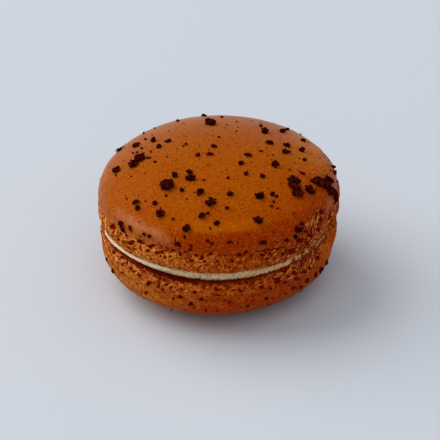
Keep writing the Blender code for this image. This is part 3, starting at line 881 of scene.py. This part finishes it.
def crustField(place, tone):
    # what the crust's colours share: place, distance from the axis, noises, masks, light from the left
    f = SimpleNamespace(place=place, tone=tone)
    f.x, f.y, f.z = partsOf(place)
    f.out = (f.x * f.x + f.y * f.y) ** 0.5
    f.upper = f.z.between(14, 17)
    f.mottle = noiseOf(place, crustFinish["mottleSize"], 4, 0.65)
    f.fine = noiseOf(place, crustFinish["fineSize"], 3, 0.6)
    f.rough, f.near = maskOf(place, "rough"), maskOf(place, "near")
    # redder to the right, the front and the rim, more golden to the left, the back and the top: partly
    # the baking, partly painted shade where the light reaches less
    offSeam = place.maths("ABSOLUTE", f.z - seam["height"])
    turned = (f.x * 0.45 - f.y * 0.6) / 22 + (12 - offSeam) / 16
    patches = noiseOf(place, crustFinish["patchSize"], 2)
    f.bake = (turned * 0.42 + (patches - 0.5) * 0.7 + (f.mottle - 0.5) * 0.5 + 0.42).clamped()
    f.lit = 1 - f.x / 34
    f.ridge = ((f.lit - 0.9) * 1.6).mixed(tone.ridgeWarm, tone.ridge)
    return f


def skinColour(f):
    # golden to brown to deep with the baking and its painted shade, painted shade down the front shoulder,
    # mottled and grained, with dark red flecks, and a painted golden highlight above the front shoulder
    tone, fine, mottle = f.tone, f.fine - 0.5, f.mottle - 0.5
    front = (f.x * 0.15 - f.y) / 22
    # painted shade: darker down the front shoulder, where less light reaches
    shoulderShade = f.out.between(19.9, 21.2) * front.between(0.4, 0.85) * f.x.between(-12, -5)
    aside = f.x - 1.3
    # painted highlight: a golden band above the front shoulder
    glow = f.out.between(18, 19.2) * f.out.between(20.8, 20) * front.between(0.3, 0.6)
    glow *= (1 - aside * aside / 64).clamped() * f.upper
    return layered(
        f.bake.between(0, 0.5).mixed(tone.golden, tone.brown),
        (f.bake.between(0.5, 1), tone.deep),
        (shoulderShade * 0.75, tone.rim),
        (fine * 3.8 + mottle * 1.2 + 0.03, tone.fleck),
        (fine * -3.2 + mottle - 0.096, tone.glint),
        (noiseOf(f.place, 0.9, 3, 0.75).between(0.6, 0.7) * 0.35, tone.fleck),
        (noiseOf(f.place, 0.5, 2, 0.7).between(0.62, 0.69) * 0.75, tone.burnt),
        (glow * 0.26 + glow * fine * 5, tone.glow),
    )


def sheenedSkin(f, glossy):
    # painted sheen where the upper skin is seen edge on, painted light at the far right, and a painted
    # highlight at the front left
    # the pale edge-on band is a painted sheen, not a reflection
    edgeOn = f.place.node("LayerWeight", {}, {"Blend": 0.5}, output="Facing").between(0.42, 1)
    ends = f.x.between(10, 17) * 0.8 + f.x.between(-18, -21) * 0.5
    further = f.x.between(5, 20) * 0.22 + f.y.between(9, 18) * 0.1
    sheenShare = (further + crustFinish["sheenShare"]) * (1 - ends * f.z.between(20.2, 18.9))
    # painted highlight along the front left shoulder, where the key lamp's reflection falls
    highlightBand = f.out.between(20.3, 21.4) * (f.out.between(22.1, 21.5) * 0.7 + 0.3)
    return layered(
        skinColour(f),
        (edgeOn * f.upper * sheenShare, f.tone.bloom),
        # painted light: the far right of the upper skin is lightened, where less light reaches
        (f.x.between(11, 19) * f.y.between(-6, 2) * f.upper * 0.26, f.tone.tan),
        (glossy * highlightBand * (f.mottle * 1.4 - 0.25), f.tone.shine),
    )


def footColour(f):
    # brown crumb, blotched, with some pale grains and drawn-out fibres, and peppered with dark holes; the
    # pale grains and tan grow with the painted light from the left, the fibre lines are painted lighter
    # towards the dimmer right, and the gaps between fibres are dark partly as painted shade
    tone, lit, fine = f.tone, f.lit, f.fine
    grains = noiseOf(f.place, 0.42, 1.5, 0.5)
    threads = noiseOf(maskOf(f.place, "helix", "Vector"), 0.45, 1.5, 0.5)
    wall, drawn = maskOf(f.place, "wall"), maskOf(f.place, "drawn")
    pale = (grains.between(0.41, 0.31) + wall * (fine * 3.4 - 1.45)) * (1.3 - drawn * 0.8) * lit - 0.1
    line = threads.between(0.455, 0.48) * threads.between(0.51, 0.485)
    gap = threads.between(0.53, 0.58) + threads.between(0.42, 0.37)
    return layered(
        (f.bake * 0.6 + (fine - 0.5) * 1.4 + 0.1).mixed(tone.footLight, tone.footDark),
        (maskOf(f.place, "blotch") * 0.7, tone.burnt),
        (grains.between(0.54, 0.66) * 0.9, tone.burnt),
        ((lit - 1) * (fine * 3 - 0.75), tone.tan),
        (pale, f.ridge),
        (gap * drawn * 1.2, tone.pore),
        (line * drawn * (2.1 - lit * 0.6), tone.ridge),
    )


def footPatches(f, base):
    # painted light on the upper foot at the front left, duller at its left end and that of the lower
    # shell, and golden at the right end of the lower shell
    frontLeft = f.x.between(-4, -11) * f.x.between(-20, -17) * f.upper.between(0, 0.3)
    leftEnd = f.x.between(-16.5, -20.5) * f.z.between(18.8, 17.8)
    rightEnd = f.x.between(16, 21) * f.z.between(13.3, 12)
    return layered(
        base,
        (frontLeft * f.rough * 0.34, f.tone.tan),
        (leftEnd * 0.5, f.tone.golden),
        (rightEnd * 0.6, f.tone.footLight),
    )


def raggedPits(f, base):
    # pits with crumbs between them, most of all at the left, where they grow with the painted light
    # from the left: cells whose place is stirred by noise
    stir = noiseOf(f.place, 0.7, 2, 0.6, "Color")
    stirred = f.place.node("VectorMath", {"operation": "MULTIPLY_ADD"}, {0: stir, 1: [0.8] * 3, 2: f.place})
    cells = cellsOf(stirred, crustFinish["pitSize"])
    pitted = f.rough * (f.lit - 0.5) * f.mottle.between(0.42, 0.52)
    pits = cells.between(0.38, 0.24) * pitted
    base = layered(base, (cells.between(0.56, 0.7) * pitted * 0.6, f.ridge), (pits * 0.9, f.tone.hollow))
    return base, pits


def pinholes(f, base, pits):
    # pinholes, dense on the foot and scattered on the skin beside it, with pale crumbs near the foot,
    # more at the lower left, and painted light in mottled tan there
    tone, place, mottle = f.tone, f.place, f.mottle
    skinNear = f.near * (1 - f.rough)
    holes = cellsOf(place, crustFinish["pinholeSize"]).between(0.32, 0.17) * mottle.between(0.4, 0.53)
    pricks = cellsOf(place, crustFinish["prickSize"]).between(0.34, 0.2) * mottle.between(0.42, 0.48)
    pricks *= skinNear
    holes = (holes * f.rough + pricks + pits).clamped()
    litLowLeft = f.z.between(12, 8) * f.x.between(-2, -16)
    light = skinNear * noiseOf(place, 0.4, 2, 0.6).between(0.57, 0.66) * (0.15 + litLowLeft * 0.4)
    base = layered(
        base,
        (litLowLeft * (mottle * 3.4 - 1.55), tone.tan),
        (light, tone.ridge),
        (pricks * 0.8, tone.burnt),
        # the dark colours of the hollows, pores and holes are partly their own, partly painted shade in the
        # recesses
        (maskOf(place, "hollow").between(0.15, 0.7), tone.hollow),
        (maskOf(place, "pore") + holes * f.rough, f.x.between(-10, 12).mixed(tone.burnt, tone.pore)),
    )
    return base, holes


def crustMaterial():
    # skin or foot, as rough says, pitted, with painted shade under the lip and under the cream, the dark
    # inside, and a gloss at the front left
    finish = crustFinish
    material, place = startMaterial("bakedCrust")
    tone = tonesOf(finish)
    f = crustField(place, tone)
    glossy = ((f.x * -0.72 - f.y * 0.69) / 22).between(0.88, 0.95) * f.upper
    glossy *= f.x.between(-20, -14) * 0.8 + 0.2
    base = f.rough.mixed(sheenedSkin(f, glossy), footColour(f))
    base, pits = raggedPits(f, footPatches(f, base))
    base, holes = pinholes(f, base, pits)
    # painted shade under the cream, deepest towards the front left
    deepestShade = f.x.between(-15, -11) * f.x.between(-3, -7)
    base = layered(
        base,
        # painted shade under the lip's edge
        (maskOf(place, "lipShade") * 0.6, tone.pore),
        (maskOf(place, "inner"), deepestShade.mixed(tone.inner, tone.deepInside)),
    )
    rim = f.out.between(20.1, 21.2) * f.out.between(22.15, 21.75)
    gloss = rim * (1 - f.rough) * f.mottle.between(0.3, 0.6) * glossy * (1 - holes)
    roughness = f.rough * 0.25 + (f.mottle - 0.5) * 0.2
    height = f.fine * (f.rough * 0.9 + 0.2) + f.mottle * 0.25 - holes * 1.5
    return finishMaterial(material, finish, base, roughness, height, {
        "Coat Weight": gloss * finish["coat"],
        "Coat Roughness": finish["coatRoughness"],
        "Specular Tint": tone.tint,
        "Sheen Weight": finish["sheen"],
        "Sheen Roughness": finish["sheenRoughness"],
        "Sheen Tint": tone.tint,
    })


creamFinish = {
    "bright": (255, 236, 196), "pale": (250, 222, 172), "warm": (224, 186, 124),
    "shade": (172, 112, 52), "crust": (124, 50, 6), "stuck": (236, 168, 84), "brokenFrom": 6,
    "brokenTo": 19, "roughness": 0.45, "specular": 0.12, "bump": 0.8, "bumpDepth": 0.12,
}


def creamMaterial():
    finish = creamFinish
    material, place = startMaterial("paleCream")
    tone = tonesOf(finish)
    soft, fine = noiseOf(place, 1.6), noiseOf(place, 0.3, 3, 0.6)
    # brushed slantwise along the rim: noise stretched along x and turned down a little
    x, y, z = partsOf(place)
    stretched = place.node("CombineXYZ", {}, {0: x * 0.4 + z * 0.4, 1: y * 0.4, 2: z - x * 0.35})
    brushed = noiseOf(stretched, 0.26, 3, 0.6)
    # painted light on the left, brightest on its upper part there; painted shade on its lower part, on
    # its upper part away from the left, and more towards the right; crumb from the crust sticks to it on
    # the right and, with painted shade, below, and towards its right end it shows in patches only
    lift, west = maskOf(place, "lift"), x.between(-4, -14)
    stuck = x.between(finish["brokenFrom"], finish["brokenTo"])
    speckled = noiseOf(place, 0.5, 3, 0.6) - 0.6 + stuck * 0.13 + lift.between(0.25, 0.05) * 0.12
    patchy = (noiseOf(place, 1.3, 1) - 0.47) * 16 * x.between(12, 16)
    base = layered(
        soft.between(0.3, 0.7).mixed(tone.pale, tone.warm),
        (maskOf(place, "pit") * 0.6 + (brushed - 0.5) * 3 + (fine - 0.5) * 0.8, tone.shade),
        (lift.between(0.5, 0.1) * (west * 0.6 + 0.1) + x / 50 * (1 - stuck), tone.shade),
        (stuck * 1.1, tone.stuck),
        (lift.between(0.5, 0.95) * (1 - west) * 0.75, tone.shade),
        (lift.between(0.35, 0.65) * west, tone.bright),
        (speckled * 11, tone.crust),
        (patchy, tone.crust),
        # painted shade: the gap under the cream's lip at the left, in the crust's colour
        (maskOf(place, "gap"), tone.crust),
    )
    return finishMaterial(material, finish, base, fine * 0.3, fine * 0.5 + brushed + soft * 0.5)


crumbFinish = {
    "dark": (14, 0, 3), "brown": (67, 11, 3), "light": (132, 50, 22), "red": (126, 26, 0),
    "roughness": 0.4, "specular": 0.02, "bump": 0.8, "bumpDepth": 0.08,
}


def crumbMaterial():
    # dark, cloudy brown, with a few light grains, and redder where the mask says so
    material, place = startMaterial("darkCrumb")
    tone = tonesOf(crumbFinish)
    soft, fine = noiseOf(place, 0.6), noiseOf(place, 0.16, 3, 0.6)
    base = layered(
        soft.between(0.35, 0.7).mixed(tone.dark, tone.brown),
        (fine.between(0.6, 0.75), tone.light),
        (maskOf(place, "red") * 0.7, tone.red),
    )
    return finishMaterial(material, crumbFinish, base, soft * 0.3, fine)


def dress(piece, material, nodes):
    piece.data.materials.append(material)
    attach(piece, "root")
    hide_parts(*nodes)


# Floor, light and camera, in metres; azimuth 0 is straight behind the macaron, and negative is to its left

studio = {
    "floor": (216, 221, 230), "floorShade": 0.97, "floorHalf": 3,
    "floorGrain": 0.8,  # in millimetres
    "floorRoughness": 0.7, "floorSpecular": 0.2,
    "softKey": {"azimuth": -64, "height": 42, "distance": 1.6, "size": 1.9, "power": 20},
    "softFill": {"azimuth": 176, "height": 40, "distance": 1.6, "size": 1.6, "power": 3.6},
    "lampColour": (1, 0.98, 0.95), "world": (0.9, 0.95, 1), "level": 0.1, "overhead": 0.6,
}


def makeFloor():
    # a wide plain square, faintly clouded
    mesh = bpy.data.meshes.new("studioFloor")
    half = studio["floorHalf"]
    corners = [(-half, -half, 0), (half, -half, 0), (half, half, 0), (-half, half, 0)]
    mesh.from_pydata(corners, [], [(0, 1, 2, 3)])
    floor = placed("studioFloor", mesh)
    material, place = startMaterial("paleFloor")
    light = colour(*studio["floor"])
    dim = (*[c * studio["floorShade"] for c in light[:3]], 1)
    fillSockets(material.node_tree, material.node_tree.nodes["Principled BSDF"], {
        "Base Color": noiseOf(place, studio["floorGrain"], 2).mixed(light, dim),
        "Roughness": studio["floorRoughness"],
        "Specular IOR Level": studio["floorSpecular"],
    })
    mesh.materials.append(material)


def aimed(back):
    # turn of a lamp or camera whose back points along this direction
    return Vector(back).to_track_quat("Z", "Y")


def makeLights():
    # two round soft lamps that face the seam's middle from their azimuth, height and distance
    for name in ("softKey", "softFill"):
        lamp = studio[name]
        data = bpy.data.lights.new(name, "AREA")
        data.shape = "DISK"
        data.size, data.energy, data.color = lamp["size"], lamp["power"], studio["lampColour"]
        light = placed(name, data)
        azimuth, height = math.radians(lamp["azimuth"]), math.radians(lamp["height"])
        flat = math.cos(height)
        direction = np.array([math.sin(azimuth) * flat, math.cos(azimuth) * flat, math.sin(height)])
        light.location = direction * lamp["distance"] + [0, 0, seam["height"] * mm]
        light.rotation_euler = aimed(direction).to_euler()


def makeWorld():
    # a room that is brighter overhead than level with the table
    world = bpy.data.worlds.new("softRoom")
    world.use_nodes = True
    tree = world.node_tree
    direction = Wire(tree).node("TexCoord", {}, {}, output="Generated")
    strength = partsOf(direction)[2].clamped() * studio["overhead"] + studio["level"]
    fillSockets(tree, tree.nodes["Background"], {"Color": (*studio["world"], 1), "Strength": strength})
    world.cycles_visibility.glossy = False
    bpy.context.scene.world = world


def makeCamera():
    # looks at the seam's middle from the picture's angle, shifted so that this falls on its own pixel
    data = bpy.data.cameras.new("pictureCamera")
    data.sensor_width = view["sensor"]
    data.lens = view["scale"] * view["distance"] / view["frame"] * view["sensor"]
    data.clip_start, data.clip_end = 0.01, 20
    back = Vector(towardsCamera())
    turn = aimed(back).to_matrix() @ Matrix.Rotation(math.radians(-view["roll"]), 3, "Z")
    middle = view["frame"] / 2
    aside = (middle - view["seamPixel"][0]) / view["scale"]
    up = (view["seamPixel"][1] - middle) / view["scale"]
    aim = Vector((0, 0, seam["height"])) + turn @ Vector((aside, up, 0))
    camera = placed("pictureCamera", data)
    camera.matrix_world = Matrix.Translation((aim + back * view["distance"]) * mm) @ turn.to_4x4()
    bpy.context.scene.camera = camera


print("frame loaded:", sorted(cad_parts))
makeFloor()
makeLights()
makeWorld()
makeCamera()
bpy.context.scene.view_settings.view_transform = "Standard"
print("floor, lights and camera made")

crust, cream, crumb = crustMaterial(), creamMaterial(), crumbMaterial()
print("materials made")
dress(makeShell("topCrust", topShell), crust, ["top_shell"])
dress(makeShell("bottomCrust", bottomShell), crust, ["bottom_shell"])
dress(makeCream("creamLayer"), cream, ["filling"])
dress(makeCrumbs("biscuitCrumbs"), crumb, ["top_shell", "bottom_shell"])
dress(makeSpecks("biscuitSpecks"), crumb, ["top_shell", "bottom_shell"])
